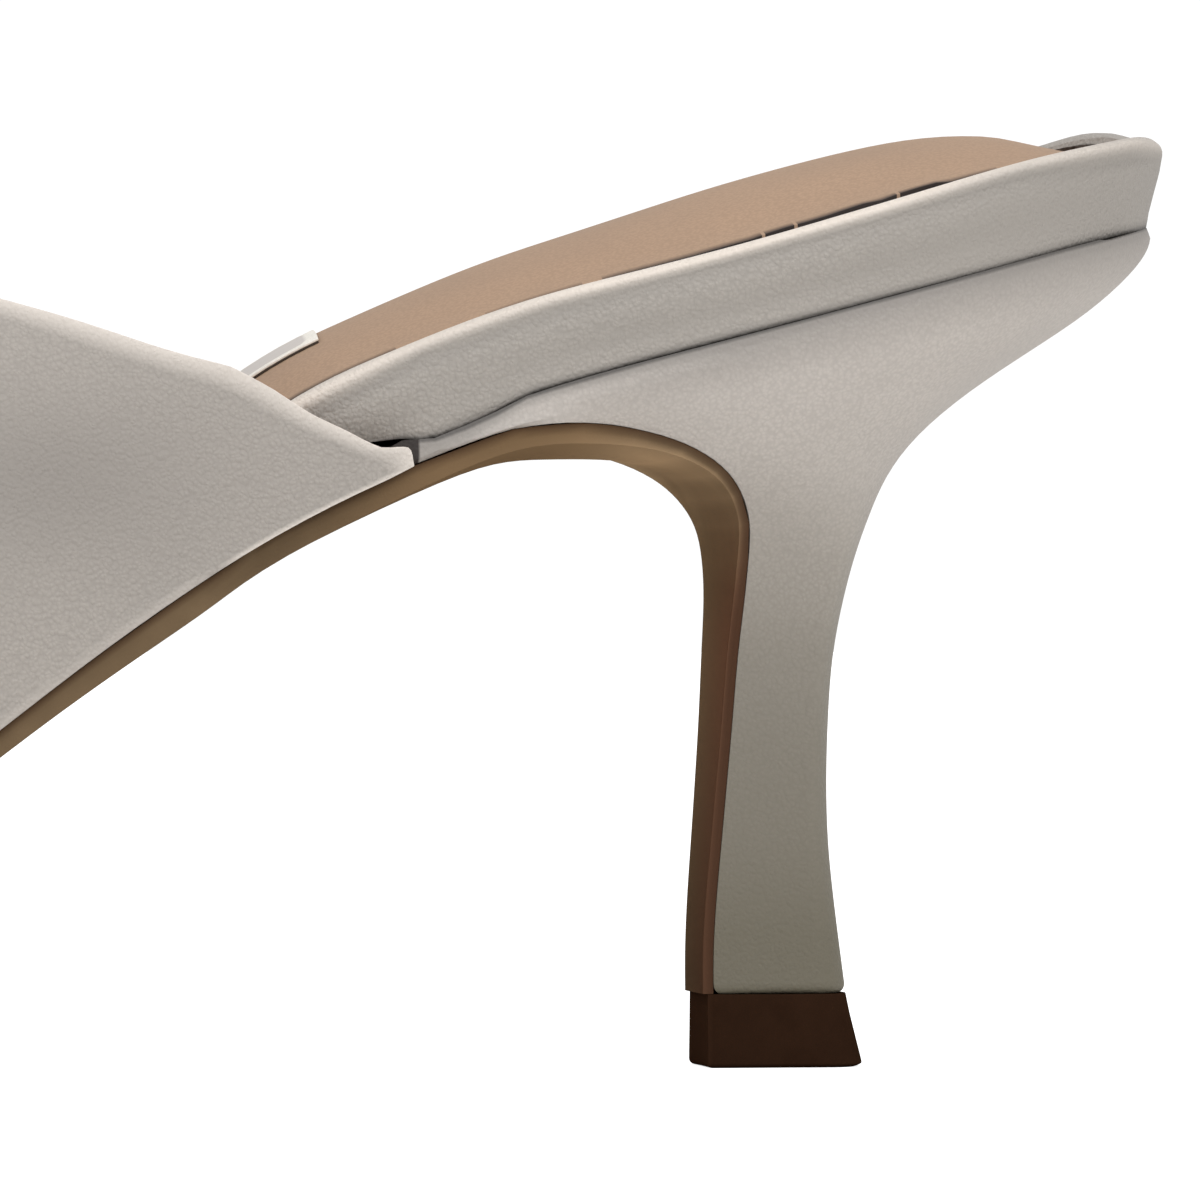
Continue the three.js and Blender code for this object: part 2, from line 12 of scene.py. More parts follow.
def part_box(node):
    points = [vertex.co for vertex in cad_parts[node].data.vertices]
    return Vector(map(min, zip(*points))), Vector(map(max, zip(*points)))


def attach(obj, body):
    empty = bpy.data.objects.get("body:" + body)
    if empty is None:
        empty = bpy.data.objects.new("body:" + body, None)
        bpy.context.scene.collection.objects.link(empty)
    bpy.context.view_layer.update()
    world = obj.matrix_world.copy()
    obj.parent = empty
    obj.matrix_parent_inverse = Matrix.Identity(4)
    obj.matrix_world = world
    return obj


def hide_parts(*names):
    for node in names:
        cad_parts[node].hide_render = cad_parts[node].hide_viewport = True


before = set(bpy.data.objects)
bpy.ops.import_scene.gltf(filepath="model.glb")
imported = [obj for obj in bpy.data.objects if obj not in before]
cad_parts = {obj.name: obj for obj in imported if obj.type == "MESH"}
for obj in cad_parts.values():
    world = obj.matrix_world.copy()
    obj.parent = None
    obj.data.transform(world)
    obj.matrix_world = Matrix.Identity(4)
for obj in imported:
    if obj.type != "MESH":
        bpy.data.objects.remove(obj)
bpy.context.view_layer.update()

bl_info = {
    "name": "Mule shoe",
    "version": (1, 0, 0),
    "blender": (4, 5, 0),
    "location": "3D View > Sidebar > Mule",
    "description": "Leather, lining, sole and heel finishes for a mule with a flared heel",
    "category": "Object",
}

MM = 0.001

# Edges sharper than this are corners of the CAD's forms
CORNER = math.radians(48)

# How deep the valley under the rim's crest is, and how far the far rim dips at the back, in mm
VALLEY, HUMP = 0.34, 0.3

# Centre of the seat's round back, in mm along
SEAT_CENTRE = 26

# The painted shadow in the notch at the wing's end, beside the vamp's tip, begins between these two places, in mm
# along
NOTCH_SHADOW_FROM, NOTCH_SHADOW_TO = 65.95, 65.75

# How far from its edge the panel's paler border fades into its face, from and to in mm
BORDER = (0.8, 1.1)

# Where the shoe stands in the row's frame: the back of the footbed and the middle of the heel
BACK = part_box("footbed")[1][0]
MIDDLE = (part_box("top_piece")[0][1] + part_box("top_piece")[1][1]) / 2

# The footbed's underside and the crest of its wrapped edge, in mm along and above the floor
SEAT_LINE = [(0, 70.9), (11.8, 68.1), (23.5, 65.0), (35.3, 61.9), (47, 58.8), (56.4, 56.1), (65.8, 52.2),
             (75.2, 46.7), (84.6, 40.3), (94, 33.8), (103.4, 26.7), (115.2, 18.7), (126.9, 11.8), (138.7, 6.5)]
CREST_LINE = [(0, 77.2), (4.7, 77.3), (16.5, 75.4), (28.2, 71.7), (44.7, 67.0), (55.2, 64.2), (65.8, 60.5),
              (77.6, 54.7), (91.7, 43.9), (108.1, 29.4), (131.6, 13.6)]

# Lower corner of the vamp's outer tip, in mm along and up
TIP = (66.4, 50.2)

# The vamp's outer topline near the tip: mm along, its height, and how much lower the folded edge runs
TOPLINE = [(66.5, 51.9, -0.25), (67.7, 52.4, 0.6), (68.6, 53.0, 1.2), (69.4, 53.4, 1.55), (70.2, 53.7, 1.5),
           (71.1, 53.9, 1.32), (72.3, 54.3, 1.03), (73.6, 54.8, 0.9), (75.2, 55.5, 0.72), (77.4, 56.3, 0.2),
           (78.3, 56.6, 0.0), (81.7, 58.2, -0.42), (85.0, 59.7, -0.1), (88.0, 61.0, 0.0)]

# How far the wrapped edge's foot and the heel's wing under it lie off their straight run, in mm
FOOT_SHIFT = [(57.0, 0.0), (60.0, -0.45), (63.3, -0.5), (65.0, -0.3), (66.0, 0.1), (66.9, 0.75), (67.7, 1.15),
              (69.4, 1.9), (70.5, 2.4), (74.0, 2.6), (88.0, 0.0)]

# Soft folds of the leather on the rim's outer side: from, level there, to, level there, depth, width
RIM_WRINKLES = [
    (52.0, 0.30, 38.5, 0.22, 0.05, 0.5),
    (47.0, 0.44, 33.0, 0.36, 0.035, 0.45),
    (36.0, 0.26, 24.5, 0.30, 0.05, 0.5),
    (30.0, 0.50, 21.0, 0.42, 0.03, 0.4),
    (24.0, 0.20, 13.0, 0.26, 0.04, 0.45),
    (17.0, 0.58, 9.0, 0.66, 0.03, 0.5),
]

# Where painted shadow shows dark over the rim along the sock's cut edge, from and to in mm
SHADOW_DASHES = [(17.5, 22.2), (22.3, 26.0), (26.1, 30.65), (30.75, 34.35), (34.65, 37.2), (37.3, 42.6), (42.7, 50.5),
              (52.0, 60.0), (67.5, 82.0)]

# How much of its lift the sock's outer edge has, along the seat
SPRUNG = [(14, 0.2), (17, 0.38), (21.9, 0.55), (22.3, 0.85), (26.0, 0.95), (26.3, 0.76), (28.4, 0.8), (28.7, 0.94),
          (30.6, 0.94), (30.8, 0.82), (34.2, 0.82), (34.5, 0.62), (34.8, 0.88), (36.8, 0.84), (37.2, 0.7), (42, 0.68),
          (43, 0.62), (49, 0.55), (52, 0.4), (60, 0.3), (68, 0.45), (84, 0.5)]


# How strong some colour changes are: the crest's painted highlight, painted shade under the seat and down the stem,
# and the sole's colour at the waist; mm along the shoe, or up the heel for the stem, and the strength there
CREST_HIGHLIGHT = [(8, 0.5), (24, 1.05), (40, 1.65), (58, 0.85), (98, 0.8), (110, 0)]
UNDER_SHADE = [(0, 0.6), (3, 1), (40, 1), (54, 0.25), (58, 0.3), (62, 1)]
WAIST_SHADE = [(45, 0), (52, 1), (64, 1), (76, 0)]
STEM_SHADE = [(5, 1), (11, 0.98), (19, 0.87), (27, 0.8), (35, 0.67), (42, 0.45), (50, 0.12), (56, 0)]

# How much lower the sock lies at the back than the CAD's, in mm
SOCK_DROP = [(0, 1.3), (5, 1.15), (8, 0.65), (15, 0)]

# How far over the seat line the middle of the foot runs, in mm, and where along its toes end
HEART = [(0, 14), (150, 14), (200, 9), (240, 4)]
HEART_END = 215

# Where the sock's dashes of painted shadow may lie, in mm along
DASHES_FROM, DASHES_TO = 16.0, 84.0


def along(x):
    """Distance in mm from the back of the footbed."""
    return (BACK - x) / MM


def place(s, y, z):
    """A point of the row's frame from mm along, across and up."""
    return Vector((BACK - s * MM, MIDDLE + y * MM, z * MM))


def kick(s, y):
    """How far the rim's inner side rises at the very back, in mm."""
    across = unit((y / 26 - 0.05) / 0.35)
    back = unit((11.75 - s) / 9.4)
    return 0.9 * across ** 2 * (3 - 2 * across) * back ** 2 * (3 - 2 * back)


def unit(share):
    return np.clip(share, 0, 1)


def on_line(line, s):
    stations, heights = zip(*line)
    return np.interp(s, stations, heights)


# Sizes and colours of each piece


class MuleUpper(bpy.types.PropertyGroup):
    edge: FloatProperty(name="Edge rounding", description="Radius of the upper's folded edges",
                        default=0.00014, unit="LENGTH")
    # Painted highlight: the paler band along the topline's turned edge
    fold: FloatProperty(name="Folded edge highlight", description="Width of the painted highlight along the topline's turned edge",
                        default=0.00014, unit="LENGTH")
    colour: FloatVectorProperty(name="Leather", description="Colour of the greige leather", size=3,
                                default=(0.436, 0.398, 0.362), subtype="COLOR")
    lining: FloatVectorProperty(name="Lining", description="Colour of the upper's lining", size=3,
                                default=(0.56, 0.37, 0.24), subtype="COLOR")


class MuleFootbed(bpy.types.PropertyGroup):
    edge: FloatProperty(name="Edge rounding", description="Radius of the footbed's lower edge",
                        default=0.0002, unit="LENGTH")
    dent: FloatProperty(name="Dent", description="Depth of the long dent above the footbed's lower edge",
                        default=0.0003, unit="LENGTH")
    colour: FloatVectorProperty(name="Leather", description="Colour of the wrapped leather", size=3,
                                default=(0.445, 0.41, 0.374), subtype="COLOR")
    # Painted shadow in the groove between the wrapped edge and the sock
    recess: FloatVectorProperty(name="Recess shadow", description="Colour of the painted shadow on the edge's inner side, beside the sock", size=3,
                                default=(0.05, 0.035, 0.026), subtype="COLOR")


class MuleSock(bpy.types.PropertyGroup):
    lift: FloatProperty(name="Edge lift", description="How far the sock's edge springs up beside the seat",
                        default=0.00098, unit="LENGTH")
    colour: FloatVectorProperty(name="Lining", description="Colour of the tan lining leather", size=3,
                                default=(0.43, 0.286, 0.19), subtype="COLOR")
    # Painted shadow in the gap between the sock's cut edge and the rim
    gap_shadow: FloatVectorProperty(name="Gap shadow", description="Colour of the painted shadow in the gap at the sock's cut edge", size=3,
                                  default=(0.022, 0.013, 0.01), subtype="COLOR")
    panel: FloatVectorProperty(name="Panel", description="Colour of the bare panel on the sock", size=3,
                               default=(0.94, 0.9, 0.82), subtype="COLOR")
    panel_length: FloatProperty(name="Panel length", description="Length of the bare panel along the shoe",
                                default=0.034, unit="LENGTH")
    panel_width: FloatProperty(name="Panel width", description="Width of the bare panel across the shoe",
                               default=0.0105, unit="LENGTH")


class MuleSole(bpy.types.PropertyGroup):
    edge: FloatProperty(name="Edge rounding", description="Radius of the sole's edges",
                        default=0.0003, unit="LENGTH")
    colour: FloatVectorProperty(name="Sole", description="Colour of the polished sole leather", size=3,
                                default=(0.17, 0.116, 0.067), subtype="COLOR")
    waist: FloatVectorProperty(name="Waist", description="Colour of the sole leather beside the vamp's tip", size=3,
                               default=(0.215, 0.138, 0.074), subtype="COLOR")
    dark: FloatVectorProperty(name="Flap", description="Colour of the sole leather down the heel's breast", size=3,
                              default=(0.205, 0.103, 0.062), subtype="COLOR")
    # Painted reflection: the sole lighter under the waist, where it faces down
    arch_reflection: FloatVectorProperty(name="Arch reflection", description="Colour of the painted reflection on the sole under the waist", size=3,
                              default=(0.58, 0.39, 0.225), subtype="COLOR")


class MuleHeel(bpy.types.PropertyGroup):
    edge: FloatProperty(name="Edge rounding", description="Radius of the heel's edges",
                        default=0.0002, unit="LENGTH")
    colour: FloatVectorProperty(name="Cover", description="Colour of the heel's leather cover", size=3,
                                default=(0.615, 0.566, 0.525), subtype="COLOR")
    # Painted shade: the colour that the cover darkens to low on the stem
    foot: FloatVectorProperty(name="Painted shade at the foot", description="Colour of the cover's painted shade low on the stem", size=3,
                              default=(0.156, 0.14, 0.1), subtype="COLOR")
    # Painted shadow in the notch between the vamp's tip and the wing's end
    notch_shadow: FloatVectorProperty(name="Notch shadow", description="Colour of the painted shadow at the wing's end by the vamp", size=3,
                             default=(0.02, 0.012, 0.009), subtype="COLOR")
    top_piece: FloatVectorProperty(name="Top piece", description="Colour of the top piece's rubber", size=3,
                                   default=(0.029, 0.0138, 0.0078), subtype="COLOR")


class MuleStage(bpy.types.PropertyGroup):
    key: FloatProperty(name="Key light", description="Strength of the soft light over the heel", default=0.36)
    fill: FloatProperty(name="Fill light", description="Strength of the broad light from the front", default=0.05)
    room: FloatProperty(name="Room light", description="Strength of the light from all round", default=0.7)


# Mesh helpers


def put(mesh, name, body="root"):
    piece = bpy.data.objects.new(name, mesh)
    bpy.context.scene.collection.objects.link(piece)
    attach(piece, body)
    return piece


def copy_of(node, name):
    """A new piece with the CAD node's form: corners merged and triangles joined to quads."""
    bm = bmesh.new()
    bm.from_mesh(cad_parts[node].data)
    bmesh.ops.remove_doubles(bm, verts=bm.verts, dist=2e-6)
    bmesh.ops.join_triangles(bm, faces=bm.faces, angle_face_threshold=math.radians(50),
                             angle_shape_threshold=math.radians(70))
    bmesh.ops.recalc_face_normals(bm, faces=bm.faces)
    mesh = bpy.data.meshes.new(name)
    bm.to_mesh(mesh)
    bm.free()
    piece = put(mesh, name)
    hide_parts(node)
    return piece


def sharp_edges(bm, angle, kept=None):
    return [edge for edge in bm.edges if len(edge.link_faces) == 2 and edge.calc_face_angle(0) > angle
            and (kept is None or kept(edge.verts[0].co) and kept(edge.verts[1].co))]


def crease_edges(piece, angle, kept=None):
    """Marks the edges sharper than `angle` so that subdivision keeps them."""
    bm = bmesh.new()
    bm.from_mesh(piece.data)
    layer = bm.edges.layers.float.get("crease_edge") or bm.edges.layers.float.new("crease_edge")
    for edge in sharp_edges(bm, angle, kept):
        edge[layer] = 1.0
    bm.to_mesh(piece.data)
    bm.free()


def subdivide(piece, levels):
    """Subdivides the piece's mesh for good, with its corners kept where the CAD has them."""
    modifier = piece.modifiers.new("Subdivision", "SUBSURF")
    modifier.levels = modifier.render_levels = levels
    wanted = points_of(piece)
    for turn in range(3):
        bpy.context.view_layer.update()
        done = bpy.data.meshes.new_from_object(piece.evaluated_get(bpy.context.evaluated_depsgraph_get()))
        if turn == 2:
            break
        flat = np.empty(len(done.vertices) * 3)
        done.vertices.foreach_get("co", flat)
        move_to(piece, points_of(piece) + wanted - flat.reshape(-1, 3)[:len(wanted)])
    piece.modifiers.clear()
    done.name = piece.name
    piece.data = done


def round_edges(piece, radius, angle=math.radians(40), segments=3):
    modifier = piece.modifiers.new("Rounded edges", "BEVEL")
    modifier.width = radius
    modifier.segments = segments
    modifier.limit_method = "ANGLE"
    modifier.angle_limit = angle
    for face in piece.data.polygons:
        face.use_smooth = True


def points_of(piece):
    flat = np.empty(len(piece.data.vertices) * 3)
    piece.data.vertices.foreach_get("co", flat)
    return flat.reshape(-1, 3)


def normals_of(piece):
    flat = np.empty(len(piece.data.vertices) * 3)
    piece.data.vertex_normals.foreach_get("vector", flat)
    return flat.reshape(-1, 3)


def move_to(piece, points):
    piece.data.vertices.foreach_set("co", np.asarray(points, dtype=np.float32).ravel())
    piece.data.update()


def remember(piece, name, values):
    """Keeps one number per vertex for the piece's material."""
    attribute = piece.data.attributes.new(name, "FLOAT", "POINT")
    attribute.data.foreach_set("value", np.asarray(values, dtype=np.float32))


def tree_of(*nodes):
    """The CAD nodes' surfaces in one tree, to measure distances to them."""
    bm = bmesh.new()
    for node in nodes:
        bm.from_mesh(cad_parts[node].data)
    tree = BVHTree.FromBMesh(bm)
    bm.free()
    return tree


def close_gap(piece, most, *nodes):
    """Moves the faces that look at a close neighbour up to it, by `most` at the utmost."""
    tree = tree_of(*nodes)
    bm = bmesh.new()
    bm.from_mesh(piece.data)
    bm.normal_update()
    moves = {}
    for vert in bm.verts:
        for face in vert.link_faces:
            start = vert.co - face.normal * 0.2 * MM
            hit, _, _, distance = tree.ray_cast(start, face.normal, 1.2 * MM)
            if hit is None:
                hit = tree.find_nearest(vert.co, 0.9 * MM)[0]
                distance = 1.0 * MM if hit and (hit - vert.co).dot(face.normal) > 0.5 * (hit - vert.co).length else 0
            step = min(distance - 0.23 * MM, most)
            if step > 0 and step > moves.get(vert, Vector()).length:
                moves[vert] = face.normal * step
    for vert, step in moves.items():
        vert.co += step
    bm.to_mesh(piece.data)
    bm.free()


def distances(piece, tree, most):
    """Distance of each vertex from a tree of other pieces, in mm and at most `most`."""
    found = [tree.find_nearest(point, most * MM)[3] for point in map(Vector, points_of(piece))]
    return np.array([most if far is None else far / MM for far in found])


def edge_tree(piece, angle, kept=None):
    """Points along the piece's sharp edges, to measure distances to them."""
    bm = bmesh.new()
    bm.from_mesh(piece.data)
    points = [edge.verts[0].co.lerp(edge.verts[1].co, share / 6)
              for edge in sharp_edges(bm, angle, kept) for share in range(7)]
    bm.free()
    tree = KDTree(len(points))
    for number, point in enumerate(points):
        tree.insert(point, number)
    tree.balance()
    return tree


def distances_to_edges(piece, tree):
    return np.array([tree.find(point)[2] for point in map(Vector, points_of(piece))]) / MM


def bevel_edges(piece, radius, segments, angle):
    """Rounds the sharp edges in the mesh itself."""
    bm = bmesh.new()
    bm.from_mesh(piece.data)
    bmesh.ops.bevel(bm, geom=sharp_edges(bm, angle), offset=radius, offset_type="OFFSET", segments=segments,
                    profile=0.5, affect="EDGES", clamp_overlap=True, material=-1)
    for face in bm.faces:
        face.smooth = True
    bm.to_mesh(piece.data)
    bm.free()


def round_foot(piece, foot, radius):
    """Rounds the bottom of a piece, standing at height `foot`, by pulling its lowest rows in."""
    bm = bmesh.new()
    bm.from_mesh(piece.data)
    for share in (0.06, 0.2, 0.42, 0.7, 1.0):
        bmesh.ops.bisect_plane(bm, geom=bm.verts[:] + bm.edges[:] + bm.faces[:], dist=1e-6,
                               plane_co=(0, 0, foot + radius * share), plane_no=(0, 0, 1))
    low = [vert for vert in bm.verts if vert.co.z < foot + radius * 0.999]
    centre = sum((vert.co for vert in low), Vector()) / len(low)
    for vert in low:
        away = Vector((vert.co.x - centre.x, vert.co.y - centre.y, 0))
        share = 1 - min(max((vert.co.z - foot) / radius, 0), 1)
        vert.co -= away.normalized() * min(radius * (1 - math.sqrt(1 - share * share)), away.length * 0.3)
    bm.to_mesh(piece.data)
    bm.free()


def bump_of(distance, width):
    return np.exp(-((distance / width) ** 2))


def stroke(s, level, rows):
    """Sum of soft strokes on the rim, each from (s0, level0) to (s1, level1), depth and width in mm."""
    total = np.zeros_like(s)
    for s0, level0, s1, level1, depth, width in rows:
        high, low0, rise = level * 8, level0 * 8, (level1 - level0) * 8
        length2 = (s1 - s0) ** 2 + rise ** 2
        t = unit(((s - s0) * (s1 - s0) + (high - low0) * rise) / length2)
        far = np.hypot(s - s0 - t * (s1 - s0), high - low0 - t * rise)
        total += depth * bump_of(far, width) * np.sin(np.pi * np.clip(t, 0.04, 0.96)) ** 0.5
    return total


# Shader helpers


def add_node(tree, kind, x=0, y=0, **settings):
    node = tree.nodes.new(kind)
    node.location = (x, y)
    for name, value in settings.items():
        setattr(node, name, value)
    return node


def math_node(tree, operation, a, b=None, clamp=False):
    node = add_node(tree, "ShaderNodeMath", operation=operation, use_clamp=clamp)
    for socket, value in zip(node.inputs, (a, b)):
        if value is None:
            continue
        if isinstance(value, bpy.types.NodeSocket):
            tree.links.new(value, socket)
        else:
            socket.default_value = value
    return node.outputs[0]


def remap(tree, value, low, high, to_low=0.0, to_high=1.0):
    node = add_node(tree, "ShaderNodeMapRange", clamp=True)
    tree.links.new(value, node.inputs["Value"])
    for socket, number in zip(("From Min", "From Max", "To Min", "To Max"), (low, high, to_low, to_high)):
        node.inputs[socket].default_value = number
    return node.outputs[0]


def mix_colour(tree, factor, a, b, blend="MIX"):
    node = add_node(tree, "ShaderNodeMix", data_type="RGBA", blend_type=blend)
    for socket, value in ((node.inputs[0], factor), (node.inputs[6], a), (node.inputs[7], b)):
        if isinstance(value, bpy.types.NodeSocket):
            tree.links.new(value, socket)
        else:
            socket.default_value = value
    return node.outputs[2]


def rgba(colour, by=1.0):
    return (colour[0] * by, colour[1] * by, colour[2] * by, 1.0)


def times(colour, by):
    """A colour made lighter or darker by one factor."""
    return [part * by for part in colour]


def tinted(colour, by):
    """A colour with a factor for each of its parts."""
    return [part * more for part, more in zip(colour, by)]


def new_group(name, inputs, outputs):
    group = bpy.data.node_groups.new(name, "ShaderNodeTree")
    for socket, kind, value in inputs:
        made = group.interface.new_socket(socket, in_out="INPUT", socket_type=kind)
        if value is not None:
            made.default_value = value
    for socket, kind in outputs:
        group.interface.new_socket(socket, in_out="OUTPUT", socket_type=kind)
    return group, group.nodes.new("NodeGroupInput"), group.nodes.new("NodeGroupOutput")


def grain_group():
    """Fine leather grain: rounded cells of `Cell` mm with pores, and slow clouds of `Cloud` mm."""
    if "Leather grain" in bpy.data.node_groups:
        return bpy.data.node_groups["Leather grain"]
    group, given, out = new_group(
        "Leather grain",
        [("Cell", "NodeSocketFloat", 0.5), ("Cloud", "NodeSocketFloat", 14.0)],
        [("Height", "NodeSocketFloat"), ("Pores", "NodeSocketFloat"), ("Clouds", "NodeSocketFloat")],
    )
    links = group.links
    where = add_node(group, "ShaderNodeTexCoord").outputs["Object"]
    drift = add_node(group, "ShaderNodeTexNoise")
    drift.inputs["Scale"].default_value = 900
    drift.inputs["Detail"].default_value = 1
    links.new(where, drift.inputs["Vector"])
    wobble = add_node(group, "ShaderNodeVectorMath", operation="MULTIPLY_ADD")
    links.new(drift.outputs["Color"], wobble.inputs[0])
    wobble.inputs[1].default_value = (0.0004, 0.0004, 0.0004)
    links.new(where, wobble.inputs[2])
    cells = add_node(group, "ShaderNodeTexVoronoi", feature="SMOOTH_F1")
    links.new(wobble.outputs[0], cells.inputs["Vector"])
    links.new(math_node(group, "DIVIDE", 1000.0, given.outputs["Cell"]), cells.inputs["Scale"])
    cells.inputs["Smoothness"].default_value = 0.35
    fine = add_node(group, "ShaderNodeTexNoise")
    links.new(where, fine.inputs["Vector"])
    links.new(math_node(group, "DIVIDE", 2600.0, given.outputs["Cell"]), fine.inputs["Scale"])
    fine.inputs["Detail"].default_value = 3
    dome = math_node(group, "SUBTRACT", 1.0, cells.outputs["Distance"])
    height = math_node(group, "MULTIPLY_ADD", fine.outputs["Fac"], 0.35)
    height.node.inputs[2].default_value = 0.0
    links.new(dome, height.node.inputs[2])
    links.new(height, out.inputs["Height"])
    links.new(remap(group, cells.outputs["Distance"], 0.2, 0.7), out.inputs["Pores"])
    clouds = add_node(group, "ShaderNodeTexNoise")
    links.new(where, clouds.inputs["Vector"])
    links.new(math_node(group, "DIVIDE", 1000.0, given.outputs["Cloud"]), clouds.inputs["Scale"])
    clouds.inputs["Detail"].default_value = 4
    links.new(clouds.outputs["Fac"], out.inputs["Clouds"])
    return group


def use_group(tree, group, **values):
    node = add_node(tree, "ShaderNodeGroup", node_tree=group)
    for name, value in values.items():
        node.inputs[name].default_value = value
    return node


def attribute(tree, name):
    return add_node(tree, "ShaderNodeAttribute", attribute_name=name).outputs["Fac"]


def object_x(tree):
    """The piece's own X, for what changes along the shoe."""
    parts = add_node(tree, "ShaderNodeSeparateXYZ")
    tree.links.new(add_node(tree, "ShaderNodeTexCoord").outputs["Object"], parts.inputs[0])
    return parts.outputs["X"]


def paint_over(tree, shader, mask, colour):
    """Puts a colour over what the shader has, where the mask is."""
    plain = shader.inputs["Base Color"].links[0].from_socket
    tree.links.new(mix_colour(tree, mask, plain, rgba(colour)), shader.inputs["Base Color"])


def new_material(name):
    material = bpy.data.materials.new(name)
    material.use_nodes = True
    tree = material.node_tree
    return material, tree, tree.nodes["Principled BSDF"]


def bump(tree, shader, height, distance, strength=1.0, under=None):
    node = add_node(tree, "ShaderNodeBump")
    node.inputs["Strength"].default_value = strength
    node.inputs["Distance"].default_value = distance
    tree.links.new(height, node.inputs["Height"])
    if under is not None:
        tree.links.new(under, node.inputs["Normal"])
    tree.links.new(node.outputs["Normal"], shader.inputs["Normal"])
    return node.outputs["Normal"]


def leather(name, colour, shades=(), cell=0.35, depth=0.0001, rough=0.56, mottle=0.04):
    """Grained leather; each of `shades` is a vertex attribute, the colour that it leads to and its range."""
    material, tree, shader = new_material(name)
    grain = use_group(tree, grain_group(), Cell=cell, Cloud=11.0)
    tone = mix_colour(tree, remap(tree, grain.outputs["Clouds"], 0.3, 0.7), rgba(colour, 1 - mottle),
                      rgba(colour, 1 + mottle))
    tone = mix_colour(tree, math_node(tree, "MULTIPLY", grain.outputs["Pores"], 0.4), tone, rgba(colour, 0.7))
    for mask, other, *ends in shades:
        share = remap(tree, attribute(tree, mask), *ends) if ends else attribute(tree, mask)
        tone = mix_colour(tree, share, tone, rgba(other))
    tree.links.new(tone, shader.inputs["Base Color"])
    tree.links.new(remap(tree, grain.outputs["Clouds"], 0.3, 0.7, rough - 0.05, rough + 0.06),
                   shader.inputs["Roughness"])
    bump(tree, shader, grain.outputs["Height"], depth)
    return material


# Pieces


def facing_out(piece):
    """How far each vertex of the upper faces away from the foot, from -1 to 1."""
    points = points_of(piece)
    s = along(points[:, 0])
    heart = np.stack([np.maximum(points[:, 0], place(HEART_END, 0, 0).x), np.full(len(s), MIDDLE),
                      (on_line(SEAT_LINE, s) + on_line(HEART, s)) * MM], axis=1)
    away = points - heart
    return np.einsum("ij,ij->i", normals_of(piece), away) / np.maximum(np.linalg.norm(away, axis=1), 1e-6)


def make_upper():
    sizes = bpy.context.scene.mule_upper
    piece = copy_of("upper", "vamp")
    crease_edges(piece, CORNER)
    subdivide(piece, 2)
    soles = tree_of("outsole")
    topline = edge_tree(piece, CORNER, lambda point: soles.find_nearest(point)[3] > 1.2 * MM)
    points, outwards = points_of(piece), facing_out(piece)
    outer = KDTree(len(points))
    for number in np.flatnonzero(outwards > 0.3):
        outer.insert(points[number], number)
    outer.balance()
    # The wall gets thinner towards the topline
    thinner = 0.6 * unit(1 - distances_to_edges(piece, topline) / 4) * (outwards <= 0.3)
    for number in np.flatnonzero(thinner):
        points[number] += thinner[number] * (np.array(outer.find(points[number])[0]) - points[number])
    s, z = along(points[:, 0]), points[:, 2] / MM
    # The outer tip and the topline beside it follow the photo
    tip = bump_of(np.hypot(s - TIP[0], z - TIP[1]), 1.3)
    points[:, 0] -= 0.3 * MM * tip * (points[:, 1] < MIDDLE)
    stations, tops, drops = zip(*TOPLINE)
    low = on_line(SEAT_LINE, s) - 1
    share = unit((z - low) / (np.interp(s, stations, tops) - low))
    points[:, 2] -= np.interp(s, stations, drops) * share * MM * (points[:, 1] < MIDDLE)
    move_to(piece, points)
    topline = edge_tree(piece, CORNER, lambda point: soles.find_nearest(point)[3] > 1.2 * MM)
    bevel_edges(piece, sizes.edge, 3, CORNER)
    points = points_of(piece)
    s, z = along(points[:, 0]), points[:, 2] / MM
    remember(piece, "inside", facing_out(piece) < 0)
    to_edge = distances_to_edges(piece, topline) * MM
    # Painted highlight along the topline's turned edge
    remember(piece, "fold", unit(1.5 - to_edge / sizes.fold))
    # Painted highlight: the vamp lighter along its lower edge beside the sole
    remember(piece, "hem", bump_of(distances(piece, soles, 6) - 0.8, 0.35))
    # Painted shade: a soft darker patch on the vamp's outer side where it curves
    remember(piece, "hollow", bump_of(np.hypot((s - 98) / 17, (z - 49) / 8), 1) * (points[:, 1] < MIDDLE))
    piece.data.materials.append(leather("Greige leather", sizes.colour, [
        ("hollow", times(sizes.colour, 0.72)), ("hem", times(sizes.colour, 1.15)),
        ("fold", times(sizes.colour, 1.8)), ("inside", sizes.lining)]))
    return piece


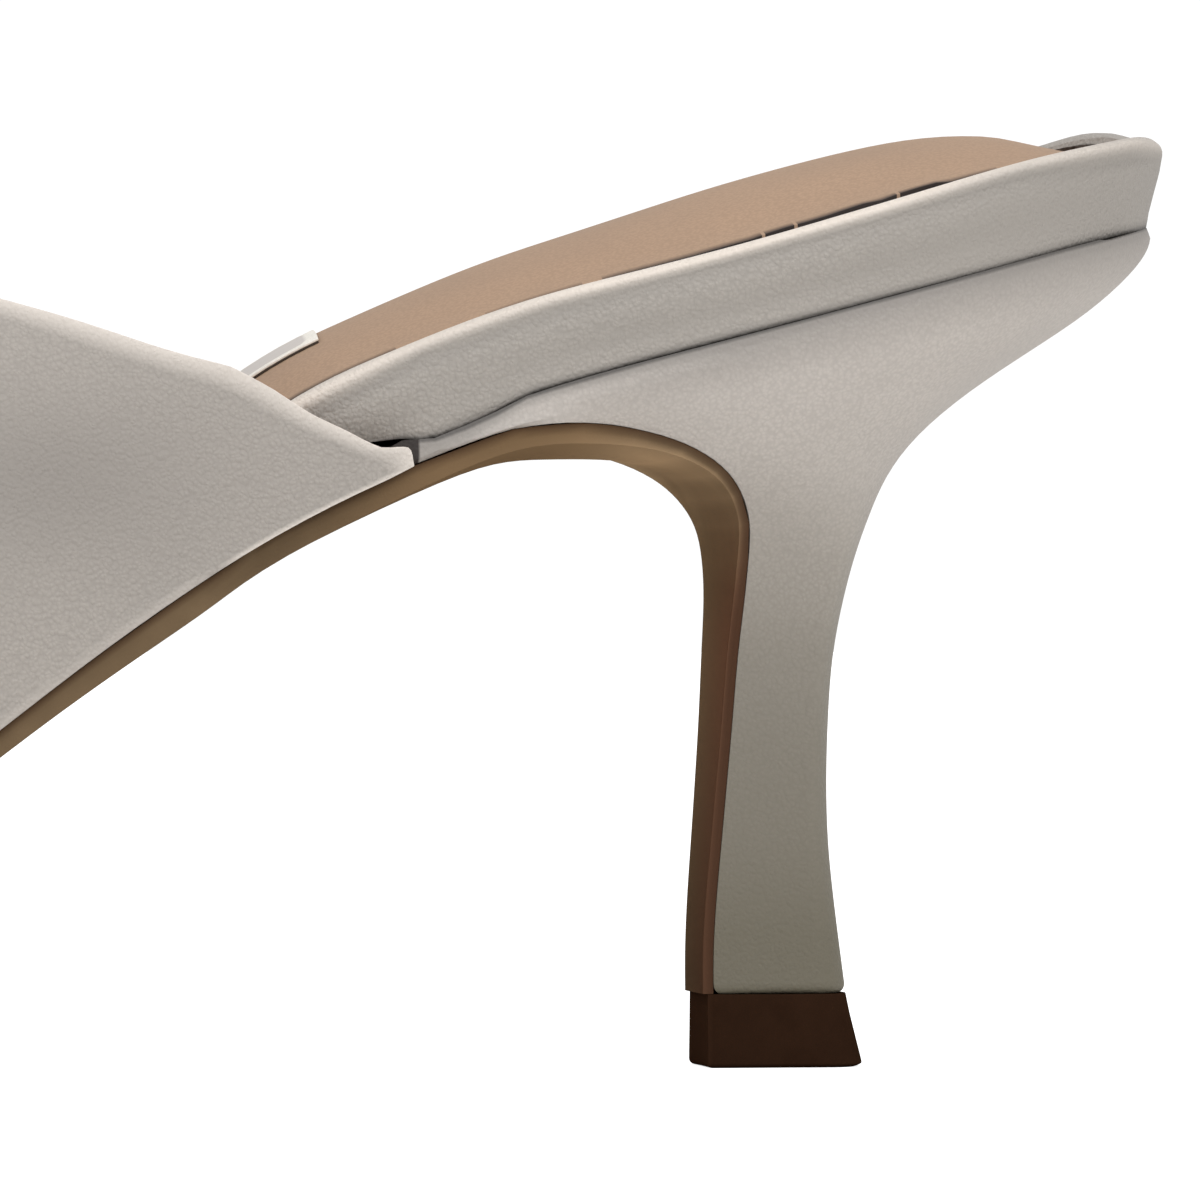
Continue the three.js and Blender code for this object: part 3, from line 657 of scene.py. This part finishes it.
def make_footbed():
    sizes = bpy.context.scene.mule_footbed
    piece = copy_of("footbed", "wrapped_footbed")
    crease_edges(piece, CORNER)
    crease_edges(piece, math.radians(20), lambda point: point.z / MM < on_line(SEAT_LINE, along(point.x)) + 1.2)
    subdivide(piece, 2)
    points = points_of(piece)
    s = along(points[:, 0])
    foot, crest = on_line(SEAT_LINE, s), on_line(CREST_LINE, s)
    h = (points[:, 2] / MM - foot)
    level = h / (crest - foot)
    normals = normals_of(piece)
    side = unit(1 - np.abs(normals[:, 2]) * 1.2)
    # Each vertex's way out, level with the floor
    centre = np.minimum(points[:, 0], place(SEAT_CENTRE, 0, 0).x)
    out = np.stack([points[:, 0] - centre, points[:, 1] - MIDDLE], axis=1)
    out /= np.maximum(np.linalg.norm(out, axis=1), 1e-6)[:, None]
    outer = np.einsum("ij,ij->i", normals[:, :2], out)
    # The rim's foot comes out to its CAD line and follows the photo's seam
    low = 0.5 * unit(1 - h / 0.6)
    low += 0.4 * unit(1 - level / 0.8) * unit((7 - s) / 3)
    points[:, :2] += out * (low * MM * (outer > -0.3))[:, None]
    points[:, 2] += on_line(FOOT_SHIFT, s) * unit(1 - h / 4) * MM
    # The long dent, the folds and the valley under the crest
    dent = unit((s - 9) / 9) * unit((66 - s) / 14) * bump_of(level - 0.3, 0.1) * side
    wrinkles = stroke(s, level, RIM_WRINKLES) * side * (points[:, 1] < MIDDLE)
    valley = VALLEY * bump_of(level - 0.8, 0.075) * unit((85 - s) / 10) * (outer > 0.3)
    valley *= np.clip((s - 0.5) / 5, 0.1, 1)
    points -= normals * (sizes.dent * dent + (wrinkles + valley) * MM)[:, None]
    hump = bump_of(s - 7.5, 3.5) * (points[:, 1] > MIDDLE + 8 * MM) * unit((level - 0.6) / 0.3)
    points[:, 2] -= HUMP * MM * hump
    move_to(piece, points)
    # What the material shades: painted shadow in the recess beside the sock, painted shade low along the seam,
    # towards the back, in the dent and in the valley, and a painted highlight on the crest
    below = crest + kick(s, (points[:, 1] - MIDDLE) / MM) - points[:, 2] / MM
    inner = outer < np.where(points[:, 1] > MIDDLE + 4 * MM, 0.55, -0.2)
    # Painted shadow on the edge's inner side, down in the groove beside the sock
    remember(piece, "recess", inner * (level > 0.4) * unit(below / 2) * unit((90 - s) / 8))
    # Painted shade: darker low on the edge, along its seam with the heel
    remember(piece, "rise", h + 2 * unit((s - 84) / 4))
    # Painted shade: the edge darker towards the back of the seat
    remember(piece, "back", unit((34 - s) / 20))
    # Painted shade in the long dent, over the dent in the form
    remember(piece, "dent", dent)
    # Painted highlight along the crest of the wrapped edge
    remember(piece, "crest", bump_of(level - 0.98, 0.09) * on_line(CREST_HIGHLIGHT, s))
    # Painted shade in the valley under the crest, over the valley in the form
    remember(piece, "valley", unit(valley / VALLEY) * unit(1.3 - level) * 2)
    round_edges(piece, sizes.edge)
    piece.data.materials.append(leather("Wrapped greige leather", sizes.colour, [
        ("back", times(sizes.colour, 0.88)),
        ("valley", times(sizes.colour, 0.78)),
        ("dent", times(sizes.colour, 0.88)),
        ("crest", tinted(sizes.colour, (1.8, 1.75, 1.71))),
        ("rise", times(sizes.colour, 0.68), 0.8, 0.3),
        ("rise", times(sizes.colour, 0.24), 0.36, 0.1),
        ("recess", sizes.recess, 0.12, 0.2)]))
    return piece


def make_sock():
    sizes = bpy.context.scene.mule_sock
    piece = copy_of("sock", "padded_sock")
    crease_edges(piece, math.radians(60))
    subdivide(piece, 2)
    points, normals = points_of(piece), normals_of(piece)
    s, y = along(points[:, 0]), (points[:, 1] - MIDDLE) / MM
    inward = distances_to_edges(piece, edge_tree(piece, math.radians(60), lambda point: point.y < MIDDLE))
    sprung = on_line(SPRUNG, s)
    points[:, 2] += sizes.lift * sprung * (y < 0) * unit(1 - inward / 4.5) ** 1.6
    points[:, 2] -= (kick(s, y) + on_line(SOCK_DROP, s)) * (normals[:, 2] > 0.1) * MM
    move_to(piece, points)
    # Painted shadow: the sock darker along its far back edge beside the rim
    far_back = edge_tree(piece, math.radians(60), lambda point: point.y > MIDDLE - 2 * MM and along(point.x) < 16)
    remember(piece, "from_rim", distances_to_edges(piece, far_back) + np.clip((s - 12) / 2, 0, 2))
    remember(piece, "side", (np.abs(normals[:, 2]) < 0.75) & (inward < 1.4) & (y < 0))
    round_edges(piece, 0.00012)
    material = leather("Tan lining leather", sizes.colour, [("from_rim", (0.12, 0.085, 0.066), 1.3, 0.6)],
                       cell=0.3, depth=0.00001, rough=0.75, mottle=0.05)
    tree, shader = material.node_tree, material.node_tree.nodes["Principled BSDF"]
    # Dashes of painted shadow in the gap between the sock's outer edge and the rim
    dashes = add_node(tree, "ShaderNodeValToRGB")
    dashes.color_ramp.interpolation = "CONSTANT"
    tree.links.new(remap(tree, object_x(tree), BACK - DASHES_FROM * MM, BACK - DASHES_TO * MM), dashes.inputs["Fac"])
    stops = [(DASHES_FROM, 0)] + [stop for start, end in SHADOW_DASHES for stop in ((start, 1), (end, 0))]
    ramp = dashes.color_ramp.elements
    for number, (where, dark) in enumerate(stops):
        element = ramp[number] if number < 2 else ramp.new(1.0)
        element.position = (where - DASHES_FROM) / (DASHES_TO - DASHES_FROM)
        element.color = (dark, dark, dark, 1)
    mask = math_node(tree, "MULTIPLY", attribute(tree, "side"), dashes.outputs["Color"])
    paint_over(tree, shader, mask, sizes.gap_shadow)
    piece.data.materials.append(material)
    return piece


def make_panel(sock):
    """The bare panel near the vamp, and a dark sheet under it that is painted shadow beneath the panel's edge."""
    sizes = bpy.context.scene.mule_sock
    bpy.context.view_layer.update()
    ground = BVHTree.FromObject(sock, bpy.context.evaluated_depsgraph_get())
    turn = Matrix.Rotation(math.radians(-5), 3, "Z")
    corner = place(72.4, -10.0, 0)
    # The dark sheet under the panel is painted shadow, showing as a dark line under the panel's edge
    layers = (("panel_shadow_sheet", 0.0, 0.22, 0.06, times(sizes.colour, 0.13)),
              ("bare_panel", 0.22, 0.2, 0.0, list(sizes.panel)))
    for name, lift, thick, inset, colour in layers:
        bm = bmesh.new()
        bmesh.ops.create_grid(bm, x_segments=24, y_segments=10, size=0.5)
        bmesh.ops.scale(bm, vec=(sizes.panel_length - 2 * inset * MM, sizes.panel_width - 2 * inset * MM, 1),
                        verts=bm.verts)
        from_border = [min(sizes.panel_length / 2 - abs(vert.co.x), sizes.panel_width / 2 - abs(vert.co.y)) / MM
                       for vert in bm.verts]
        bmesh.ops.translate(bm, vec=(-sizes.panel_length / 2, sizes.panel_width / 2, 0), verts=bm.verts)
        bmesh.ops.rotate(bm, cent=(0, 0, 0), matrix=turn, verts=bm.verts)
        bmesh.ops.translate(bm, vec=corner, verts=bm.verts)
        for vert in bm.verts:
            hit, normal = ground.ray_cast(Vector((vert.co.x, vert.co.y, 0.2)), Vector((0, 0, -1)))[:2]
            vert.co = hit + normal * lift * MM
        mesh = bpy.data.meshes.new(name)
        bm.to_mesh(mesh)
        bm.free()
        piece = put(mesh, name)
        remember(piece, "from_border", from_border)
        wall = piece.modifiers.new("Thickness", "SOLIDIFY")
        wall.thickness = thick * MM
        wall.offset = 1.0
        round_edges(piece, 0.00006)
        face = tinted(colour, (0.68, 0.66, 0.68))
        piece.data.materials.append(leather(name.replace("_", " ").capitalize(), colour,
                                            [("from_border", face, *BORDER)], cell=0.2, depth=0.000005, rough=0.6))


def make_outsole():
    sizes = bpy.context.scene.mule_sole
    piece = copy_of("outsole", "sole_with_flap")
    crease_edges(piece, CORNER)
    subdivide(piece, 2)
    close_gap(piece, 0.26 * MM, "heel", "footbed", "upper")
    points = points_of(piece)
    points[:, 2] = np.maximum(points[:, 2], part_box("outsole")[0][2])
    move_to(piece, points)
    s, z = along(points[:, 0]), points[:, 2] / MM
    across = (points[:, 1] - MIDDLE) / MM
    near = distances(piece, tree_of("heel", "footbed", "upper"), 3.0)
    remember(piece, "flap", unit((48.5 - z) / 12) * (s < 60))
    # Painted shade: the flap darker towards its foot
    remember(piece, "flap_foot_shade", unit((34 - z) / 26) * (s < 60))
    remember(piece, "waist", on_line(WAIST_SHADE, s))
    # Painted light: the flap lighter towards its far side
    remember(piece, "far_side_light", unit((across + 8) / 15) ** 1.5)
    # Painted shade along the seams with the heel, the footbed and the upper
    remember(piece, "seam", unit((0.75 - near) / 0.6))
    edge = unit(-1.6 * normals_of(piece)[:, 1] - 0.6)
    remember(piece, "flap_edge", edge * unit((50 - z) / 12) * (s < 60))
    # Painted reflection on the sole under the waist
    remember(piece, "arch_reflection", bump_of(s - 41, 8) * unit((z - 40) / 8) * unit(near - 0.6))
    round_edges(piece, sizes.edge)
    material, tree, shader = new_material("Brown sole leather")
    grain = use_group(tree, grain_group(), Cell=0.25, Cloud=6.0)
    tone = mix_colour(tree, remap(tree, grain.outputs["Clouds"], 0.3, 0.7), rgba(sizes.colour, 0.9),
                      rgba(sizes.colour, 1.12))
    tone = mix_colour(tree, attribute(tree, "waist"), tone, rgba(sizes.waist))
    flap = mix_colour(tree, attribute(tree, "far_side_light"), rgba(sizes.dark), rgba(sizes.colour, 1.35))
    tone = mix_colour(tree, attribute(tree, "flap"), tone, flap)
    foot = mix_colour(tree, attribute(tree, "far_side_light"), rgba(sizes.dark, 0.46), rgba(sizes.colour, 0.72))
    tone = mix_colour(tree, attribute(tree, "flap_foot_shade"), tone, foot)
    tone = mix_colour(tree, attribute(tree, "flap_edge"), tone, rgba(sizes.dark, 0.5))
    tone = mix_colour(tree, attribute(tree, "arch_reflection"), tone, rgba(sizes.arch_reflection))
    tone = mix_colour(tree, math_node(tree, "MULTIPLY", attribute(tree, "seam"), 0.8), tone, rgba(sizes.dark, 0.3))
    tree.links.new(tone, shader.inputs["Base Color"])
    shader.inputs["Roughness"].default_value = 0.5
    shader.inputs["Specular IOR Level"].default_value = 0.0
    bump(tree, shader, grain.outputs["Height"], 0.00001)
    piece.data.materials.append(material)
    return piece


def make_heel():
    sizes = bpy.context.scene.mule_heel
    piece = copy_of("heel", "covered_heel")
    crease_edges(piece, CORNER)
    subdivide(piece, 2)
    close_gap(piece, 0.24 * MM, "footbed")
    points = points_of(piece)
    s = along(points[:, 0])
    top = bump_of(on_line(SEAT_LINE, s) - points[:, 2] / MM, 0.9)
    points[:, 2] += np.minimum(on_line(FOOT_SHIFT, s), 0.8) * top * MM
    back = unit((6 - s) / 3) * unit(1 - (on_line(SEAT_LINE, s) - points[:, 2] / MM) / 1.2)
    points[:, 0] -= 0.6 * MM * back
    move_to(piece, points)
    round_foot(piece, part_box("heel")[0][2], 0.85 * MM)
    points = points_of(piece)
    s = along(points[:, 0])
    # Painted shade: the stem darker towards its foot
    remember(piece, "low", on_line(STEM_SHADE, points[:, 2] / MM))
    # Painted shade under the wrapped edge's overhang, strongest just below the seam
    under = on_line(SEAT_LINE, along(points[:, 0])) - points[:, 2] / MM
    remember(piece, "under", unit(1 - under / 5) ** 1.4 * on_line(UNDER_SHADE, s))
    # Painted shade: a dark line and soft shading just under the seam with the footbed
    remember(piece, "below", under + np.minimum(on_line(FOOT_SHIFT, s), 0.8))
    round_edges(piece, sizes.edge)
    material = leather("Heel cover leather", sizes.colour, [
        ("under", times(sizes.colour, 0.48)), ("low", sizes.foot),
        ("below", times(sizes.colour, 0.5), 1.1, 0.2),
        ("below", times(sizes.colour, 0.2), 0.42, 0.16)], depth=0.00006)
    tree, shader = material.node_tree, material.node_tree.nodes["Principled BSDF"]
    # Painted shadow in the notch between the vamp's tip and the wing's end
    notch_shadow = remap(tree, object_x(tree), place(NOTCH_SHADOW_FROM, 0, 0).x, place(NOTCH_SHADOW_TO, 0, 0).x, 1, 0)
    paint_over(tree, shader, notch_shadow, sizes.notch_shadow)
    piece.data.materials.append(material)
    return piece


def make_top_piece():
    sizes = bpy.context.scene.mule_heel
    piece = copy_of("top_piece", "rubber_top_piece")
    crease_edges(piece, math.radians(35))
    subdivide(piece, 2)
    close_gap(piece, 0.27 * MM, "heel", "outsole")
    points = points_of(piece)
    points[:, 2] = np.maximum(points[:, 2], 0)
    move_to(piece, points)
    round_foot(piece, 0, 0.5 * MM)
    # Painted light: the faces towards the toe lighter
    remember(piece, "front", unit(-1.5 * normals_of(piece)[:, 0] - 0.4))
    round_edges(piece, sizes.edge)
    material, tree, shader = new_material("Dark rubber")
    grain = use_group(tree, grain_group(), Cell=0.2, Cloud=3.0)
    tone = mix_colour(tree, grain.outputs["Clouds"], rgba(sizes.top_piece, 0.75), rgba(sizes.top_piece, 1.35))
    tone = mix_colour(tree, attribute(tree, "front"), tone, rgba(sizes.top_piece, 1.4))
    tree.links.new(tone, shader.inputs["Base Color"])
    shader.inputs["Roughness"].default_value = 0.55
    shader.inputs["Specular IOR Level"].default_value = 0.0
    bump(tree, shader, grain.outputs["Height"], 0.00001)
    piece.data.materials.append(material)
    return piece


# Stage


def area_light(name, where, target, size, power):
    data = bpy.data.lights.new(name, "AREA")
    data.shape = "RECTANGLE"
    data.size, data.size_y = size
    data.energy = power
    light = bpy.data.objects.new(name, data)
    light.location = where
    light.rotation_euler = (target - where).to_track_quat("-Z", "Y").to_euler()
    bpy.context.scene.collection.objects.link(light)
    return light


def make_camera():
    """The photo's view: level with the middle of the heel, 8.5 degrees round towards the toe."""
    turn, rise, reach = math.radians(8.5), math.radians(0.1), 1.1
    back = Vector((-math.sin(turn) * math.cos(rise), -math.cos(turn) * math.cos(rise), math.sin(rise)))
    data = bpy.data.cameras.new("Camera")
    data.sensor_width = 36
    data.lens = 36 * reach / 0.10048
    data.clip_start, data.clip_end = 0.01, 100
    camera = bpy.data.objects.new("Camera", data)
    camera.location = place(47.485, 0, 39.077) + back * reach
    camera.rotation_euler = back.to_track_quat("Z", "Y").to_euler()
    bpy.context.scene.collection.objects.link(camera)
    bpy.context.scene.camera = camera


def make_stage():
    scene = bpy.context.scene
    sizes = scene.mule_stage
    scene.view_settings.view_transform = "Standard"
    bm = bmesh.new()
    bmesh.ops.create_grid(bm, x_segments=2, y_segments=2, size=6)
    mesh = bpy.data.meshes.new("floor")
    bm.to_mesh(mesh)
    bm.free()
    floor = bpy.data.objects.new("floor", mesh)
    scene.collection.objects.link(floor)
    material, tree, shader = new_material("Pale floor")
    shader.inputs["Base Color"].default_value = (0.9, 0.9, 0.9, 1)
    shader.inputs["Roughness"].default_value = 0.9
    shader.inputs["Specular IOR Level"].default_value = 0
    shader.inputs["Emission Color"].default_value = (1, 1, 1, 1)
    shader.inputs["Emission Strength"].default_value = 0.8
    dim = add_node(tree, "ShaderNodeBsdfDiffuse")
    dim.inputs["Color"].default_value = (0.92, 0.91, 0.89, 1)
    mixed = add_node(tree, "ShaderNodeMixShader")
    tree.links.new(add_node(tree, "ShaderNodeLightPath").outputs["Is Camera Ray"], mixed.inputs[0])
    tree.links.new(dim.outputs[0], mixed.inputs[1])
    tree.links.new(shader.outputs[0], mixed.inputs[2])
    tree.links.new(mixed.outputs[0], tree.nodes["Material Output"].inputs["Surface"])
    floor.data.materials.append(material)

    world = bpy.data.worlds.new("Studio")
    scene.world = world
    world.use_nodes = True
    tree = world.node_tree
    background = tree.nodes["Background"]
    background.inputs["Color"].default_value = (1, 1, 1, 1)
    seen = add_node(tree, "ShaderNodeLightPath").outputs["Is Camera Ray"]
    strength = remap(tree, seen, 0, 1, sizes.room, 1.05)
    tree.links.new(strength, background.inputs["Strength"])

    area_light("Key", place(40, -120, 300), place(40, 0, 66), (0.5, 0.1), sizes.key)
    fill = area_light("Fill", place(0, -520, 170), place(50, 0, 62), (0.4, 0.14), sizes.fill)
    fill.data.spread = math.radians(48)
    make_camera()


# Add-on: one operator for each piece


class MULE_OT_upper(bpy.types.Operator):
    """Makes the vamp"""
    bl_idname = "mule.upper"
    bl_label = "Upper"

    def execute(self, context):
        make_upper()
        return {"FINISHED"}


class MULE_OT_footbed(bpy.types.Operator):
    """Makes the footbed with its wrapped edge"""
    bl_idname = "mule.footbed"
    bl_label = "Footbed"

    def execute(self, context):
        make_footbed()
        return {"FINISHED"}


class MULE_OT_sock(bpy.types.Operator):
    """Makes the padded sock and the bare panel on it"""
    bl_idname = "mule.sock"
    bl_label = "Sock"

    def execute(self, context):
        make_panel(make_sock())
        return {"FINISHED"}


class MULE_OT_sole(bpy.types.Operator):
    """Makes the outsole with its flap down the heel's breast"""
    bl_idname = "mule.sole"
    bl_label = "Outsole"

    def execute(self, context):
        make_outsole()
        return {"FINISHED"}


class MULE_OT_heel(bpy.types.Operator):
    """Makes the covered heel and its top piece"""
    bl_idname = "mule.heel"
    bl_label = "Heel"

    def execute(self, context):
        make_heel()
        make_top_piece()
        return {"FINISHED"}


class MULE_OT_stage(bpy.types.Operator):
    """Makes the floor, the lights and the camera"""
    bl_idname = "mule.stage"
    bl_label = "Stage"

    def execute(self, context):
        make_stage()
        return {"FINISHED"}


class MULE_PT_panel(bpy.types.Panel):
    """Lists the pieces and their sizes and colours"""
    bl_idname = "MULE_PT_panel"
    bl_label = "Mule shoe"
    bl_space_type = "VIEW_3D"
    bl_region_type = "UI"
    bl_category = "Mule"

    def draw(self, context):
        for step, (kind, group) in zip(STEPS, GROUPS.items()):
            box = self.layout.box()
            box.operator(step.bl_idname)
            for name in group.__annotations__:
                box.prop(getattr(context.scene, kind), name)


GROUPS = {
    "mule_upper": MuleUpper,
    "mule_footbed": MuleFootbed,
    "mule_sock": MuleSock,
    "mule_sole": MuleSole,
    "mule_heel": MuleHeel,
    "mule_stage": MuleStage,
}
STEPS = (MULE_OT_upper, MULE_OT_footbed, MULE_OT_sock, MULE_OT_sole, MULE_OT_heel, MULE_OT_stage)


def register():
    for item in (*GROUPS.values(), *STEPS, MULE_PT_panel):
        bpy.utils.register_class(item)
    for name, group in GROUPS.items():
        setattr(bpy.types.Scene, name, PointerProperty(type=group))


def unregister():
    for name in GROUPS:
        delattr(bpy.types.Scene, name)
    for item in reversed((*GROUPS.values(), *STEPS, MULE_PT_panel)):
        bpy.utils.unregister_class(item)


def main():
    register()
    bpy.ops.mule.upper()
    bpy.ops.mule.footbed()
    bpy.ops.mule.sock()
    bpy.ops.mule.sole()
    bpy.ops.mule.heel()
    bpy.ops.mule.stage()


if __name__ == "__main__":
    main()
